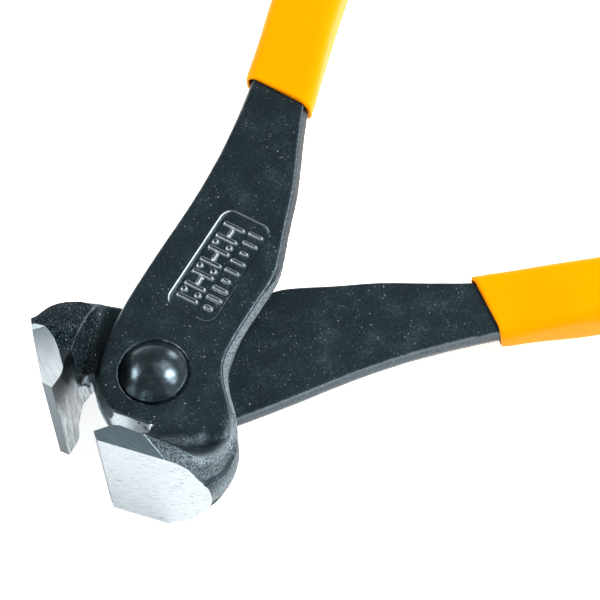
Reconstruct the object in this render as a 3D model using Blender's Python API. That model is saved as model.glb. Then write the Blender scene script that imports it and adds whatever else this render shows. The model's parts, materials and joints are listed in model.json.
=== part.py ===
"""Tile nippers: two crossed forged levers on one rivet, each with a dipped grip.

Each lever is modelled in its own frame: +X from the pivot along the handle, +Y towards
the lever's outer side, and +Z out of the lap face, with the jaw past the pivot at -X.
Both levers are the same forging. The rear one is turned over about the tool's long axis.
Lengths below are in millimetres and are scaled to metres when a mesh is made.
"""

import math

import bmesh
import bpy
from mathutils import Matrix, Vector

MM = 0.001

# The tool, lying flat, with its pivot axis along +Z and its handles towards +X.
PIVOT = Vector((-64.29, 0.0, 13.8))
REST_HALF_ANGLE = math.radians(27.0)
GAP = 0.3

# The flat blade of a lever, from its lap face to its outer face.
LAP = GAP / 2
PLATE = 4.6
BAND_TOP = 2.4
EDGE_INSET = 0.8
LAP_DRAFT = 1.2
LAP_DRAFT_START_X = 8.0
LAP_DRAFT_FULL_X = 16.0

# The ground flat on the boss beside the throat.
BOSS_FLAT_X = -9.5
BOSS_FLAT_END_Y = -3.8
BOSS_FLAT_SIZE = (3.0, 10.0, 2 * PLATE)
BOSS_FLAT_LEAN = math.radians(17.0)

# The rivet.
SHANK_R = 3.5
HEAD_R = 6.1
HEAD_HEIGHT = 3.5
HEAD_FLAT_R = 1.0
HEAD_RIM = 0.4
HEAD_FOOT_INSET = 0.15
RECESS_R = 6.4
RECESS_DEPTH = 0.5
CUT_PAST = 1.0

# The jaw: its ground end face, the small bevel to the cutting edge, and its side faces.
JAW_HALF_WIDTH = 13.8
SIDE_LEAN = math.radians(8.0)
END_CORNER = (-19.3, 1.4)
CUTTING_EDGE = (-17.9, 2.7)
END_LEAN = math.radians(2.7)
JAW_TOP = 6.0
HEEL_TOP_Y = -6.0
HEEL_POWER = 1.2
THROAT_FLOOR_Y = -3.4
THROAT_HALF_WIDTH = 20.0

# The wall on the lap side that clears the other lever as it swings.
WALL_DISTANCE = 13.5
WALL_ANGLE = math.radians(-154.5)
WALL_FILLET = 1.2

# The grips.
MOUTH_X = 60.4
MOUTH_SLANT = 0.15
GRIP_END_X = 160.7
MOUTH_HALF_WIDTH = 6.95
GRIP_HALF_WIDTH = 6.3
GRIP_NECK = 14.0
GRIP_HALF_HEIGHT = 4.7
GRIP_CORNER_R = 3.3
GRIP_END_ROUND = 12.0
MOUTH_OVERLAP = 8.0
MOUTH_OUTER_Y = 6.85
MOUTH_INNER_Y = -7.1
TANG_START_X = MOUTH_X + 2.0
TANG_END_X = 152.0
TANG_TIP_LENGTH = 2.4
TANG_TIP_HALF_WIDTH = 2.0
TANG_HALF_WIDTH = 4.1
BLADE_END_HALF_WIDTH = 5.75

# The recessed panel on each lever's outer face.
PANEL_CENTRE = (23.4, -2.7)
PANEL_SIZE = (21.6, 9.8)
PANEL_ANGLE = math.radians(-8.5)
PANEL_R = 2.2
PANEL_DEPTH = 0.35

# Outlines in the lever frame, as points for a smooth curve.
OUTER_EDGE = (
    (60.0, 6.8), (53.5, 6.5), (44.3, 6.6), (34.0, 7.5), (23.0, 9.2), (12.2, 10.6),
    (4.5, 10.9), (-1.5, 10.3), (-6.0, 8.6), (-9.3, 5.6), (-10.8, 2.2), (-10.9, -0.8),
)
THROAT = ((-10.9, -0.8), (-11.5, -2.4), (-12.8, -3.2), (-14.1, -2.9), (-15.3, -2.2))
INNER_FACE = ((-14.9, -1.5), (-15.6, 0.2), (-16.6, 1.4), CUTTING_EDGE, (-19.2, 4.0))
JAW_ROOT = ((-16.6, -3.4), (-17.4, -8.0), (-17.4, -14.0), (-16.0, -17.4))
INNER_EDGE = (
    (-14.8, -18.9), (-11.8, -19.7), (-8.2, -19.1), (-4.9, -17.7), (-1.5, -15.9),
    (1.7, -13.6), (5.1, -11.7), (8.3, -11.2), (13.6, -11.7), (20.8, -12.8), (24.5, -13.3),
    (28.0, -13.0), (34.7, -11.5), (42.8, -9.9), (52.0, -7.2), (60.0, -5.0),
)
GRIP_CENTRES = (
    (52.0, 0.0), (60.4, 0.95), (70.0, 2.1), (80.0, 3.3), (95.0, 4.4), (110.0, 4.0),
    (125.0, 2.2), (140.0, -0.9), (152.0, -4.1), (164.0, -7.6),
)

# Jaw sections across X. Each row: x, then the outermost point (y, z), the front ridge
# (y, z), the front height at the inner side, and the depth of the back side.
JAW_SECTIONS = (
    (-21.0, -15.8, 3.6, -12.0, 13.3, 14.6, 14.4),
    (-18.2, -18.4, 3.4, -12.8, 13.2, 14.3, 14.3),
    (-15.7, -19.8, 3.1, -13.6, 12.7, 13.8, 13.8),
    (-13.8, -20.25, 2.9, -15.2, 10.3, 9.4, 12.8),
    (-12.2, -20.35, 2.7, -16.7, 8.2, 6.4, 11.7),
    (-10.4, -20.2, 2.4, -17.6, 6.6, 4.9, 10.2),
    (-8.4, -19.6, 2.1, -17.8, 5.0, 4.4, 8.4),
    (-6.4, -18.6, 1.8, -17.2, 4.0, 4.0, 6.4),
)


def smooth_points(points, steps):
    """Points on a smooth curve (Catmull-Rom) through the given ones."""
    ends = [points[0], *points, points[-1]]
    result = []
    for i in range(len(points) - 1):
        before, start, end, after = (Vector(p) for p in ends[i:i + 4])
        for k in range(steps):
            t = k / steps
            bend = 2 * before - 5 * start + 4 * end - after
            twist = 3 * start - before - 3 * end + after
            result.append(0.5 * (2 * start + t * (end - before) + t**2 * bend + t**3 * twist))
    result.append(Vector(points[-1]))
    return result


def drop_repeats(points):
    """The outline without points that repeat the one before."""
    return [p for i, p in enumerate(points) if (p - points[i - 1]).length > 0.01]


def curve_at(points, x):
    """The curve's Y and slope at this X, for a curve that runs along X."""
    for start, end in zip(points, points[1:]):
        if x <= end[0]:
            slope = (end[1] - start[1]) / (end[0] - start[0])
            return start[1] + slope * (x - start[0]), slope
    return points[-1][1], slope


def new_mesh(name, bm):
    """A mesh in metres from a bmesh in millimetres."""
    bmesh.ops.recalc_face_normals(bm, faces=bm.faces)
    bmesh.ops.scale(bm, vec=(MM, MM, MM), verts=bm.verts)
    mesh = bpy.data.meshes.new(name)
    bm.to_mesh(mesh)
    bm.free()
    return mesh


def add_object(name, bm, parent):
    """Adds a named object to the scene, under the empty that places its body."""
    obj = bpy.data.objects.new(name, new_mesh(name, bm))
    bpy.context.scene.collection.objects.link(obj)
    obj.parent = parent
    return obj


def add_cutter(name, bm, parent):
    """Adds a guide solid that only shapes other solids."""
    cutter = add_object(name, bm, parent)
    cutter.hide_render = True
    cutter.display_type = 'WIRE'
    return cutter


def cut(obj, cutter, operation='DIFFERENCE'):
    """Adds a Boolean modifier that uses the cutter."""
    modifier = obj.modifiers.new(cutter.name, 'BOOLEAN')
    modifier.operation = operation
    modifier.solver = 'EXACT'
    modifier.object = cutter


def prism(outline, low, high):
    """A closed prism over an outline in XY."""
    bm = bmesh.new()
    base = bm.faces.new([bm.verts.new((x, y, low)) for x, y in outline])
    extruded = bmesh.ops.extrude_face_region(bm, geom=[base])
    top = [v for v in extruded["geom"] if isinstance(v, bmesh.types.BMVert)]
    bmesh.ops.translate(bm, vec=(0, 0, high - low), verts=top)
    return bm


def box(centre, size, turn=0.0):
    """A box turned about Z."""
    bm = bmesh.new()
    place = Matrix.Translation(centre) @ Matrix.Rotation(turn, 4, 'Z')
    bmesh.ops.create_cube(bm, size=1.0, matrix=place @ Matrix.Diagonal((*size, 1.0)))
    return bm


def cylinder(radius, low, high, segments):
    """A cylinder about the Z axis."""
    ring = [math.tau * i / segments for i in range(segments)]
    return prism([(radius * math.cos(a), radius * math.sin(a)) for a in ring], low, high)


def tang_edges(grow):
    """The handle's edges inside the grip, outer then inner, grown sideways by this much."""
    centres = smooth_points(GRIP_CENTRES, 3)
    outer, inner = [], []
    steps = 12
    for i in range(steps + 1):
        x = TANG_START_X + (TANG_END_X - TANG_START_X) * i / steps
        centre, _ = curve_at(centres, x)
        half = TANG_HALF_WIDTH + (1 - i / steps) ** 4 * (BLADE_END_HALF_WIDTH - TANG_HALF_WIDTH) + grow
        outer.append(Vector((x, centre + half)))
        inner.append(Vector((x, centre - half)))
    return outer, inner


def lever_outline():
    """The whole lever seen along the pivot axis."""
    outer, inner = tang_edges(0.0)
    tip_x, tip_y = TANG_END_X + TANG_TIP_LENGTH, (outer[-1].y + inner[-1].y) / 2
    tip = [Vector((tip_x, tip_y - TANG_TIP_HALF_WIDTH)), Vector((tip_x, tip_y + TANG_TIP_HALF_WIDTH))]
    outline = (
        outer[::-1]
        + smooth_points(OUTER_EDGE, 3)
        + smooth_points(THROAT, 3)
        + [Vector(p) for p in JAW_ROOT]
        + smooth_points(INNER_EDGE, 3)
        + inner
        + tip
    )
    return drop_repeats(outline)


def blade_solid(outline, low, high):
    """A flat bar over an outline, with its edges sloping in above the trimmed band."""
    bm = prism(outline, low, BAND_TOP)
    bmesh.ops.recalc_face_normals(bm, faces=bm.faces)
    top = max(bm.faces, key=lambda f: f.normal.z * f.calc_area())
    bmesh.ops.inset_region(
        bm, faces=[top], thickness=EDGE_INSET, depth=high - BAND_TOP, use_even_offset=True
    )
    return bm


def blade(parent, name):
    """The flat blade of a lever. Its inner edge slopes in towards the lap face."""
    bm = blade_solid(lever_outline(), 0.0, PLATE)
    for vert in bm.verts:
        if vert.co.z == 0.0 and vert.co.y < 0.0 and vert.co.x < MOUTH_X:
            run = (vert.co.x - LAP_DRAFT_START_X) / (LAP_DRAFT_FULL_X - LAP_DRAFT_START_X)
            vert.co.y += LAP_DRAFT * min(1.0, max(0.0, run))
    bmesh.ops.triangulate(bm, faces=[f for f in bm.faces if len(f.verts) == 4])
    return add_object(name, bm, parent)


def arc(centre, radii, start, end, steps, power=1.0):
    """Points on an elliptical arc in YZ, angles in degrees. A power above 1 flattens it."""
    points = []
    for i in range(steps + 1):
        angle = math.radians(start + (end - start) * i / steps)
        y, z = (math.copysign(abs(value) ** power, value) for value in (math.cos(angle), math.sin(angle)))
        points.append((centre[0] + radii[0] * y, centre[1] + radii[1] * z))
    return points


def jaw_section(values):
    """One closed section of the jaw, as points (x, y, z)."""
    x, low_y, low_z, ridge_y, ridge_z, front_z, back_z = values
    front = [(JAW_TOP, front_z), (0.0, front_z), (-6.0, front_z - 0.25 * max(0.0, front_z - ridge_z))]
    crown = arc((ridge_y, low_z), (ridge_y - low_y, ridge_z - low_z), 90, 180, 5)
    heel = arc((HEEL_TOP_Y, low_z), (HEEL_TOP_Y - low_y, low_z + back_z), 180, 270, 8, HEEL_POWER)
    outline = front + crown + heel[1:] + [(JAW_TOP, -back_z)]
    return [(x, y, z) for y, z in outline]


def jaw_mass(name, parent):
    """The forged mass of the jaw, before it is ground."""
    bm = bmesh.new()
    sections = smooth_rows(JAW_SECTIONS, 2)
    rings = [[bm.verts.new(p) for p in jaw_section(row)] for row in sections]
    for ring, following in zip(rings, rings[1:]):
        for i in range(len(ring)):
            j = (i + 1) % len(ring)
            bm.faces.new((ring[i], ring[j], following[j], following[i]))
    bmesh.ops.triangulate(bm, faces=bm.faces)
    bm.faces.new(rings[0])
    bm.faces.new(rings[-1][::-1])
    return add_cutter(name, bm, parent)


def smooth_rows(rows, steps):
    """Rows of values on a smooth curve through the given rows."""
    xs = [row[0] for row in rows]
    columns = [smooth_points(list(zip(xs, column)), steps) for column in zip(*rows)]
    return [tuple(point.y for point in row) for row in zip(*columns)]


def half_space(name, parent, point, normal_angle):
    """A large box beyond the plane through a point, on the side that the normal points to."""
    reach = 60.0
    normal = Vector((math.cos(normal_angle), math.sin(normal_angle), 0))
    bm = box(Vector((*point, 0)) + normal * reach / 2, (reach, 2 * reach, 2 * reach), normal_angle)
    return add_cutter(name, bm, parent)


def throat_cutter(name, parent):
    """The space between the jaw's inner face and the boss, through the whole width."""
    inner_face = smooth_points(INNER_FACE, 2)
    far_x, far_y = 6.0, 12.0
    root = [Vector((inner_face[0].x + 0.5, THROAT_FLOOR_Y + 1.0))]
    root += [Vector((inner_face[0].x + 1.5, THROAT_FLOOR_Y)), Vector((far_x, THROAT_FLOOR_Y))]
    outline = [Vector((far_x, far_y)), Vector((inner_face[-1].x, far_y))] + inner_face[::-1] + root
    return add_cutter(name, prism(outline, -THROAT_HALF_WIDTH, THROAT_HALF_WIDTH), parent)


def lap_cutter(name, parent):
    """Everything on the lap side that the other lever sweeps through."""
    normal = Vector((math.cos(WALL_ANGLE), math.sin(WALL_ANGLE), 0))
    length, width, depth = 260.0, 200.0, 20.0
    bm = box(
        normal * (WALL_DISTANCE - length / 2) + Vector((0, 0, LAP - depth / 2)),
        (length, width, depth),
        WALL_ANGLE,
    )
    edges = [
        e for e in bm.edges
        if all(v.co.z > 0 and v.co.dot(normal) > WALL_DISTANCE - 1 for v in e.verts)
    ]
    bmesh.ops.bevel(bm, geom=edges, offset=WALL_FILLET, segments=3, profile=0.5, affect='EDGES')
    return add_cutter(name, bm, parent)


def rounded_rectangle(centre, size, angle, radius, steps):
    """Outline of a rounded rectangle."""
    points = []
    turn = Matrix.Rotation(angle, 2)
    for quarter, (sx, sy) in enumerate(((1, 1), (-1, 1), (-1, -1), (1, -1))):
        corner = Vector((sx * (size[0] / 2 - radius), sy * (size[1] / 2 - radius)))
        for i in range(steps + 1):
            a = math.radians(90 * quarter + 90 * i / steps)
            offset = Vector((radius * math.cos(a), radius * math.sin(a)))
            points.append(Vector(centre) + turn @ (corner + offset))
    return points


def ground_jaw(name, parent):
    """The jaw with its inner face, end face, cutting bevel and both sides ground."""
    jaw = jaw_mass(name, parent)
    cut(jaw, throat_cutter(name + "_throat", parent))
    cut(jaw, half_space(name + "_end", parent, END_CORNER, math.pi + END_LEAN))
    bevel = Vector(CUTTING_EDGE) - Vector(END_CORNER)
    bevel_normal = math.atan2(bevel.x, -bevel.y)
    cut(jaw, half_space(name + "_bevel", parent, END_CORNER, bevel_normal))
    side_size = (24.0, 80.0, 20.0)
    for side, side_name in ((1, "_outer_side"), (-1, "_lap_side")):
        face = box((0, 0, side * side_size[2] / 2), side_size)
        lean = Matrix.Rotation(side * SIDE_LEAN, 4, 'Y')
        corner = Matrix.Translation((END_CORNER[0], 0, side * JAW_HALF_WIDTH))
        bmesh.ops.transform(face, matrix=corner @ lean, verts=face.verts)
        cut(jaw, add_cutter(name + side_name, face, parent))
    return jaw


def lever(name, parent):
    """One forged lever: blade, jaw, lap face, bore, rivet seat and panel."""
    body = blade(parent, name)
    cut(body, ground_jaw(name + "_jaw", parent), 'UNION')
    cut(body, lap_cutter(name + "_lap", parent))
    flat = box((-BOSS_FLAT_SIZE[0] / 2, BOSS_FLAT_SIZE[1] / 2, 0.0), BOSS_FLAT_SIZE)
    corner = Matrix.Translation((BOSS_FLAT_X, BOSS_FLAT_END_Y, PLATE))
    bmesh.ops.transform(flat, matrix=corner @ Matrix.Rotation(BOSS_FLAT_LEAN, 4, 'Y'), verts=flat.verts)
    cut(body, add_cutter(name + "_flat", flat, parent))
    bore = cylinder(SHANK_R + GAP, -CUT_PAST, PLATE + CUT_PAST, 40)
    cut(body, add_cutter(name + "_bore", bore, parent))
    seat = cylinder(RECESS_R, PLATE - RECESS_DEPTH, PLATE + CUT_PAST, 48)
    cut(body, add_cutter(name + "_seat", seat, parent))
    panel = rounded_rectangle(PANEL_CENTRE, PANEL_SIZE, PANEL_ANGLE, PANEL_R, 4)
    recess = prism(panel, PLATE - PANEL_DEPTH, PLATE + CUT_PAST)
    cut(body, add_cutter(name + "_panel", recess, parent))
    return body


def grip_section(x, shrink):
    """One closed section of a grip across its curved centre line."""
    centres = smooth_points(GRIP_CENTRES, 3)
    centre, slope = curve_at(centres, x)
    across = Vector((-slope, 1.0, 0.0)).normalized()
    neck = max(0.0, 1 - max(0.0, x - MOUTH_X) / GRIP_NECK) ** 2
    half_width = (GRIP_HALF_WIDTH + neck * (MOUTH_HALF_WIDTH - GRIP_HALF_WIDTH)) * shrink
    half_height = GRIP_HALF_HEIGHT * shrink
    radius = min(GRIP_CORNER_R * shrink, half_height * 0.95)
    middle = Vector((x, centre, (LAP + PLATE) / 2))
    outline = rounded_rectangle((0, 0), (2 * half_width, 2 * half_height), 0.0, radius, 5)
    return [middle + across * p.x + Vector((0, 0, p.y)) for p in outline]


def grip(name, parent):
    """A dipped grip: a soft sleeve with a closed round end and a slanted mouth."""
    bm = bmesh.new()
    spacing, cap_steps = 5.0, 7
    stations = [(MOUTH_X - 4.0 + spacing * i, 1.0) for i in range(19)]
    for i in range(1, cap_steps + 1):
        angle = math.radians(90 * i / (cap_steps + 0.4))
        x = GRIP_END_X - GRIP_END_ROUND * (1 - math.sin(angle))
        stations.append((x, math.cos(angle) ** 0.6))
    rings = [[bm.verts.new(p) for p in grip_section(x, shrink)] for x, shrink in stations]
    for ring, following in zip(rings, rings[1:]):
        for i in range(len(ring)):
            j = (i + 1) % len(ring)
            bm.faces.new((ring[i], ring[j], following[j], following[i]))
    bm.faces.new(rings[0])
    bm.faces.new(rings[-1][::-1])
    sleeve = add_object(name, bm, parent)

    outer, inner = tang_edges(GAP)
    before_mouth = MOUTH_X - MOUTH_OVERLAP
    mouth = [Vector((before_mouth, MOUTH_OUTER_Y)), Vector((before_mouth, MOUTH_INNER_Y))]
    tip = [Vector((TANG_END_X + TANG_TIP_LENGTH + GAP, p.y)) for p in (inner[-1], outer[-1])]
    cavity = mouth + inner + tip + outer[::-1]
    cavity_bm = blade_solid(cavity, LAP - GAP, PLATE + GAP)
    cut(sleeve, add_cutter(name + "_cavity", cavity_bm, parent))

    mouth_angle = math.pi - math.atan(MOUTH_SLANT)
    cut(sleeve, half_space(name + "_mouth", parent, (MOUTH_X, 0.0), mouth_angle))
    return sleeve


def rivet(name, parent):
    """The pivot rivet: a round shank with a domed head on each side."""
    seat = PLATE - RECESS_DEPTH + GAP
    top = seat + HEAD_HEIGHT
    dome_r = (HEAD_R**2 + HEAD_HEIGHT**2) / (2 * HEAD_HEIGHT)
    half = [(HEAD_FLAT_R, top)]
    steps = 8
    first = math.asin(HEAD_FLAT_R / dome_r)
    last = math.asin(HEAD_R / dome_r)
    for i in range(1, steps + 1):
        a = first + (last - first) * i / steps
        half.append((dome_r * math.sin(a), top - dome_r * (math.cos(first) - math.cos(a))))
    half[-1] = (HEAD_R, seat + HEAD_RIM)
    half += [(HEAD_R - HEAD_FOOT_INSET, seat), (SHANK_R, seat)]
    profile = [(0.0, top)] + half + [(r, -z) for r, z in reversed(half)] + [(0.0, -top)]
    bm = bmesh.new()
    verts = [bm.verts.new((r, 0, z)) for r, z in profile]
    edges = [bm.edges.new(pair) for pair in zip(verts, verts[1:])]
    bmesh.ops.spin(
        bm, geom=verts + edges, cent=(0, 0, 0), axis=(0, 0, 1), angle=math.tau, steps=40, use_merge=True
    )
    bmesh.ops.remove_doubles(bm, verts=bm.verts, dist=0.001)
    return add_object(name, bm, parent)


def shade(obj, sharp_degrees):
    """Smooth shading that keeps the hard edges."""
    obj.data.shade_smooth()
    obj.data.set_sharp_from_angle(angle=math.radians(sharp_degrees))


def material(name, colour, roughness, metallic):
    """A Principled material."""
    result = bpy.data.materials.new(name)
    result.use_nodes = True
    node = result.node_tree.nodes["Principled BSDF"]
    node.inputs["Base Color"].default_value = (*colour, 1.0)
    node.inputs["Roughness"].default_value = roughness
    node.inputs["Metallic"].default_value = metallic
    return result


def body_empty(name, turned_over):
    """The empty on the joint axis that places one lever and its grip."""
    empty = bpy.data.objects.new(name, None)
    bpy.context.scene.collection.objects.link(empty)
    over = Matrix.Rotation(math.pi if turned_over else 0.0, 4, 'X')
    empty.matrix_world = Matrix.Translation(PIVOT * MM) @ over @ Matrix.Rotation(REST_HALF_ANGLE, 4, 'Z')
    return empty


def main():
    for obj in list(bpy.data.objects):
        bpy.data.objects.remove(obj)
    for side, turned_over in (("front", False), ("rear", True)):
        body = body_empty(side + "_body", turned_over)
        steel = lever(side + "_lever", body)
        steel.data.materials.append(material(side + "_steel", (0.035, 0.045, 0.055), 0.45, 0.8))
        shade(steel, 30)
        sleeve = grip(side + "_grip", body)
        sleeve.data.materials.append(material(side + "_vinyl", (1.0, 0.45, 0.0), 0.35, 0.0))
        shade(sleeve, 35)
    axis = body_empty("pivot_axis", False)
    pin = rivet("pivot_rivet", axis)
    pin.data.materials.append(material("rivet_steel", (0.02, 0.024, 0.028), 0.3, 0.9))
    shade(pin, 35)


main()
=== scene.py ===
"""Looks of the tile nippers: forged black levers with ground jaws, a rivet and dipped grips.

Each lever is finished in its own frame: +X from the pivot along the handle, +Y towards the
lever's outer side, and +Z out of the lap face, with the jaw past the pivot at -X. Both
levers are the same forging. The rear one is turned over about the tool's long axis.
Sizes are in millimetres and are scaled to metres by MM.
"""

import json
import math

import bmesh
import bpy
import numpy as np
from mathutils import Matrix, Vector, noise
from mathutils.bvhtree import BVHTree


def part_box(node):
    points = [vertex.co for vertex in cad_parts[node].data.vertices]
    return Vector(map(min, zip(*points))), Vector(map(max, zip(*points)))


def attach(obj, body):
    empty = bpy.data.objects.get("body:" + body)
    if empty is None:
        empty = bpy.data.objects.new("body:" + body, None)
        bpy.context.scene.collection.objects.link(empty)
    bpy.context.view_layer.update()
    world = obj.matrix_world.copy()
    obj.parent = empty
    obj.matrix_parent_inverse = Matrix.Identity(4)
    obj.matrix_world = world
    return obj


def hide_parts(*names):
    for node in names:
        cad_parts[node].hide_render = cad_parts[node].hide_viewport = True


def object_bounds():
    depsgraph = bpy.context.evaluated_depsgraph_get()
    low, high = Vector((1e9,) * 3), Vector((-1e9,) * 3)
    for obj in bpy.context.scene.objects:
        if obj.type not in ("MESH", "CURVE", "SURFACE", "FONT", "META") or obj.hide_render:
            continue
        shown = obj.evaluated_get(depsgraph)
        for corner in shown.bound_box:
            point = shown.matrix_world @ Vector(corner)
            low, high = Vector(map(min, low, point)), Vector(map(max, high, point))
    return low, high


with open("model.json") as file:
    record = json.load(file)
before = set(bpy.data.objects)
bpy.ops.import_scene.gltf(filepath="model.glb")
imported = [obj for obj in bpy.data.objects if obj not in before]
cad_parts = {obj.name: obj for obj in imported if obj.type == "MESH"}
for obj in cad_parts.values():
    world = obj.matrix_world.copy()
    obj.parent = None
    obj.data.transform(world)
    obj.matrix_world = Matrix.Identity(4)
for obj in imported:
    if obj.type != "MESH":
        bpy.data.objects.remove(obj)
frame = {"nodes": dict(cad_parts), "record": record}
cad_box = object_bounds()

MM = 0.001
PIVOT = Vector(frame["record"]["behaviour"]["joints"][0]["pos_m"])
REST_HALF_ANGLE = math.radians(27.0)

# The camera, from the pivot in metres, with a long lens.
CAMERA_OFFSET = Vector((-0.1568, -0.2789, 0.6268))
CAMERA_LOOK = Vector((0.2627, 0.3867, -0.8840))
CAMERA_UP = Vector((0.6027, 0.6497, 0.4633))
CAMERA_LENS = 240.0

# The light of the room: at the horizon, overhead, the heights it fades between, and out of
# the floor.
HORIZON_LIGHT = 0.34
ZENITH_LIGHT = 0.18
HORIZON_TOP, ZENITH_FROM = 0.1, 0.8
FLOOR_GLOW = 0.9

# The blade, from the lap face to the outer face, and the top of its trimmed band, along the
# handle and round the bend. Points less than FACE_SKIN below the outer face belong to it.
PLATE = 4.6
FACE_SKIN = 1.2
BAND_TOP = 2.4
BEND_TOP = 4.2

# Ground faces: the jaw's end, its strip behind the cutting edge and its sides, and the flat on
# the boss.
END_CORNER = Vector((-19.3, 1.4, 0.0))
END_ANGLE = math.radians(182.7)
STRIP_ANGLE = math.radians(132.9)
SIDE_LEAN = math.radians(8.0)
JAW_HALF_WIDTH = 13.8
BOSS_FLAT_POINT = Vector((-9.5, -3.8, 4.6))
BOSS_FLAT_LEAN = math.radians(17.0)

# The fine surface of a lever. The skin within GROUND_REACH of the boss's flat is laid onto it.
VOXEL = 0.3
SOFTENING = 5
GROUND_REACH = 0.4
BOSS_FLAT_FROM_X, BOSS_FLAT_TO_X = -12.0, -8.5
BOSS_FLAT_END_Y = -4.5

# The uneven scale: its depth, deeper round the jaw, and where it stops inside the grip. There
# is none in the machined throat.
SCALE_DEPTH = 0.035
JAW_SCALE_DEPTH = 0.09
JAW_SCALE_FROM_R, JAW_SCALE_FULL_R = 7.0, 11.0
SCALE_END_X = 64.4
THROAT_X, THROAT_Y = -11.0, -3.3

# How far the skin is drawn out past a ground plane before it is cut flat, and the depths from
# which it is drawn and at which it is drawn in full. The skin past JAW_X is drawn out, and the
# skin past CUT_X is cut.
STOCK = 0.8
STOCK_FROM_DEPTH = 1.0
STOCK_FULL_DEPTH = 0.15
JAW_X = -10.0
CUT_X = -9.5

# The skin beside the jaw lies below this Y. Its relief keeps off the lap plane, and follows the
# end face from the first of two distances behind it and wholly from the second.
BESIDE_JAW_Y = -3.6
RELIEF_OFF_LAP = 1.5
FOLLOW_END, FOLLOW_END_WHOLLY = 3.0, 1.0

# Forged relief beside the jaw: a line, its reach and its height.
RELIEF = (
    # The valley where the plate meets the heel.
    (((-12.6, -5.5, 7.6), (-12.6, -8.5, 7.6), (-12.3, -11.0, 7.3), (-10.5, -13.3, 6.0),
      (-9.0, -14.3, 5.1)), 2.6, -0.75),
    # The rounded rim that runs from the side facet into the trimmed band.
    (((-17.6, -9.5, 13.4), (-17.2, -12.2, 13.2), (-16.6, -15.1, 12.5), (-15.8, -16.1, 11.8),
      (-14.4, -16.9, 10.4), (-12.8, -17.3, 8.7), (-10.7, -17.5, 6.8), (-8.4, -17.4, 5.2),
      (-5.8, -17.2, 4.3), (-3.0, -16.2, 3.6)), 1.3, 0.40),
    # The hollow outside the rim.
    (((-18.4, -16.0, 11.0), (-17.6, -17.5, 9.3), (-16.5, -18.3, 8.8), (-15.1, -18.8, 8.3),
      (-13.3, -19.0, 7.3), (-11.6, -19.0, 6.5), (-9.5, -18.7, 5.3)), 1.7, -0.60),
    # The crease under the hollow.
    (((-18.0, -17.8, 7.8), (-16.7, -18.7, 7.4), (-15.6, -19.2, 6.9), (-14.0, -19.6, 6.2),
      (-12.6, -19.7, 5.7), (-10.9, -19.6, 5.2), (-8.8, -19.2, 4.3)), 0.7, -0.40),
    # The corner of the lap side, lower at the end face and fuller towards the boss.
    (((-19.5, -16.6, -5.5), (-18.0, -16.4, -5.8)), 3.0, -0.7),
    (((-12.5, -17.0, -5.3), (-9.5, -17.4, -3.6)), 3.5, 0.35),
)

# Where the scale is rubbed to bare grey: a line, its reach and how strongly. A negative
# strength keeps it black.
RUBBED_FROM_Z = -2.0
RUBBED = (
    (RELIEF[1][0], 1.9, 0.95),
    (RELIEF[2][0], 2.2, 0.40),
    (((-18.4, -17.8, 2.0), (-15.9, -19.6, 3.2), (-13.1, -20.0, 3.2), (-9.8, -19.7, 2.8),
      (-6.0, -18.3, 1.4)), 3.2, 0.60),
    (((-11.8, -7.5, 6.2), (-10.6, -10.5, 5.6), (-9.4, -12.8, 5.0)), 1.9, 0.35),
    (RELIEF[3][0], 0.8, -0.9),
)

# The recessed panel with its raised marks.
PANEL_CENTRE = (23.4, -2.7)
PANEL_SIZE = (21.6, 9.8)
PANEL_ANGLE = math.radians(-8.5)
PANEL_R = 2.2
PANEL_DEPTH = 0.5
PANEL_WALL = 0.32
PANEL_MARGIN = 0.6
MARK_HEIGHT = 0.48
MARK_EDGE = 0.3
# Painted highlights along the edges of the marks and the panel: how bright they are and how wide their line
# is.
MARK_GLINT = 0.075
GLINT_LINE = 0.16
BARS, BAR_PITCH, BARS_Y = 7, 2.7, 1.75
DASHES, DASH_PITCH, DASHES_Y = 9, 2.05, -2.5

# The grips: the mouth, the body that swells behind it, and the rounded end.
MOUTH_X = 60.4
MOUTH_SLANT = 1.05
MOUTH_BOW = 0.75
SLANT_FADE = 20.0
MOUTH_HALF_HEIGHT = 3.35
FULL_HALF_HEIGHT = 4.7
SWELL_LENGTH = 16.0
LIP_R = 0.55
GRIP_MIDDLE_Z = 2.375
GRIP_CORNER_R = 2.6
GRIP_POINTS = 64
CAP_LENGTH = 11.0
CAP_RINGS = 22
END_CLEARANCE = 0.9
POCKET_GAP = 0.12
POCKET_R = 0.9

# The rivet: its head with a rounded foot, its shank, and the dents in its dome.
HEAD_R = 6.1
HEAD_HEIGHT = 3.5
HEAD_BEAD = 0.35
DOME_STEPS = 26
SHANK_R = 3.5
DENT = 0.10
DOME_SKIM = 0.02

# The seat that is sunk round the head, how far round it the skin is evened, and the painted
# glints on its rim, which are brightest on the bearing and opposite it.
SEAT_R = 6.4
SEAT_REACH = 1.2
SEAT_DEPTH = 0.5
SEAT_RIM_R = HEAD_R + 0.34
SEAT_GLINT = 0.075
SEAT_GLINT_BEARING = math.radians(-27.0)

# The floor and how far it lies under the tool, in metres.
FLOOR_SIZE = 4.0
FLOOR_DROP = 0.0003

# The sides of the tool: whether the lever is turned over, its seed, and how rubbed its jaw is.
SIDES = {
    "front": (False, 0.0, 1.0),
    "rear": (True, 31.0, 0.35),
}

# The lamps: the way from the pivot, the distance and size in metres, and the power in watts.
LAMPS = {
    "key": ((0.53, -0.48, 0.69), 0.9, 0.34, 12.0),
    "low_front": ((0.22, -0.96, 0.20), 0.9, 0.40, 0.45),
    "low_left": ((-0.90, 0.36, 0.22), 0.9, 0.34, 0.7),
    "far_left": ((-0.58, 0.66, 0.475), 0.9, 0.30, 8.5),
    "far_right": ((0.95, 0.31, 0.09), 0.9, 0.20, 1.6),
    "overhead": ((0.52, 0.05, 0.85), 1.0, 0.45, 1.3),
}


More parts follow.
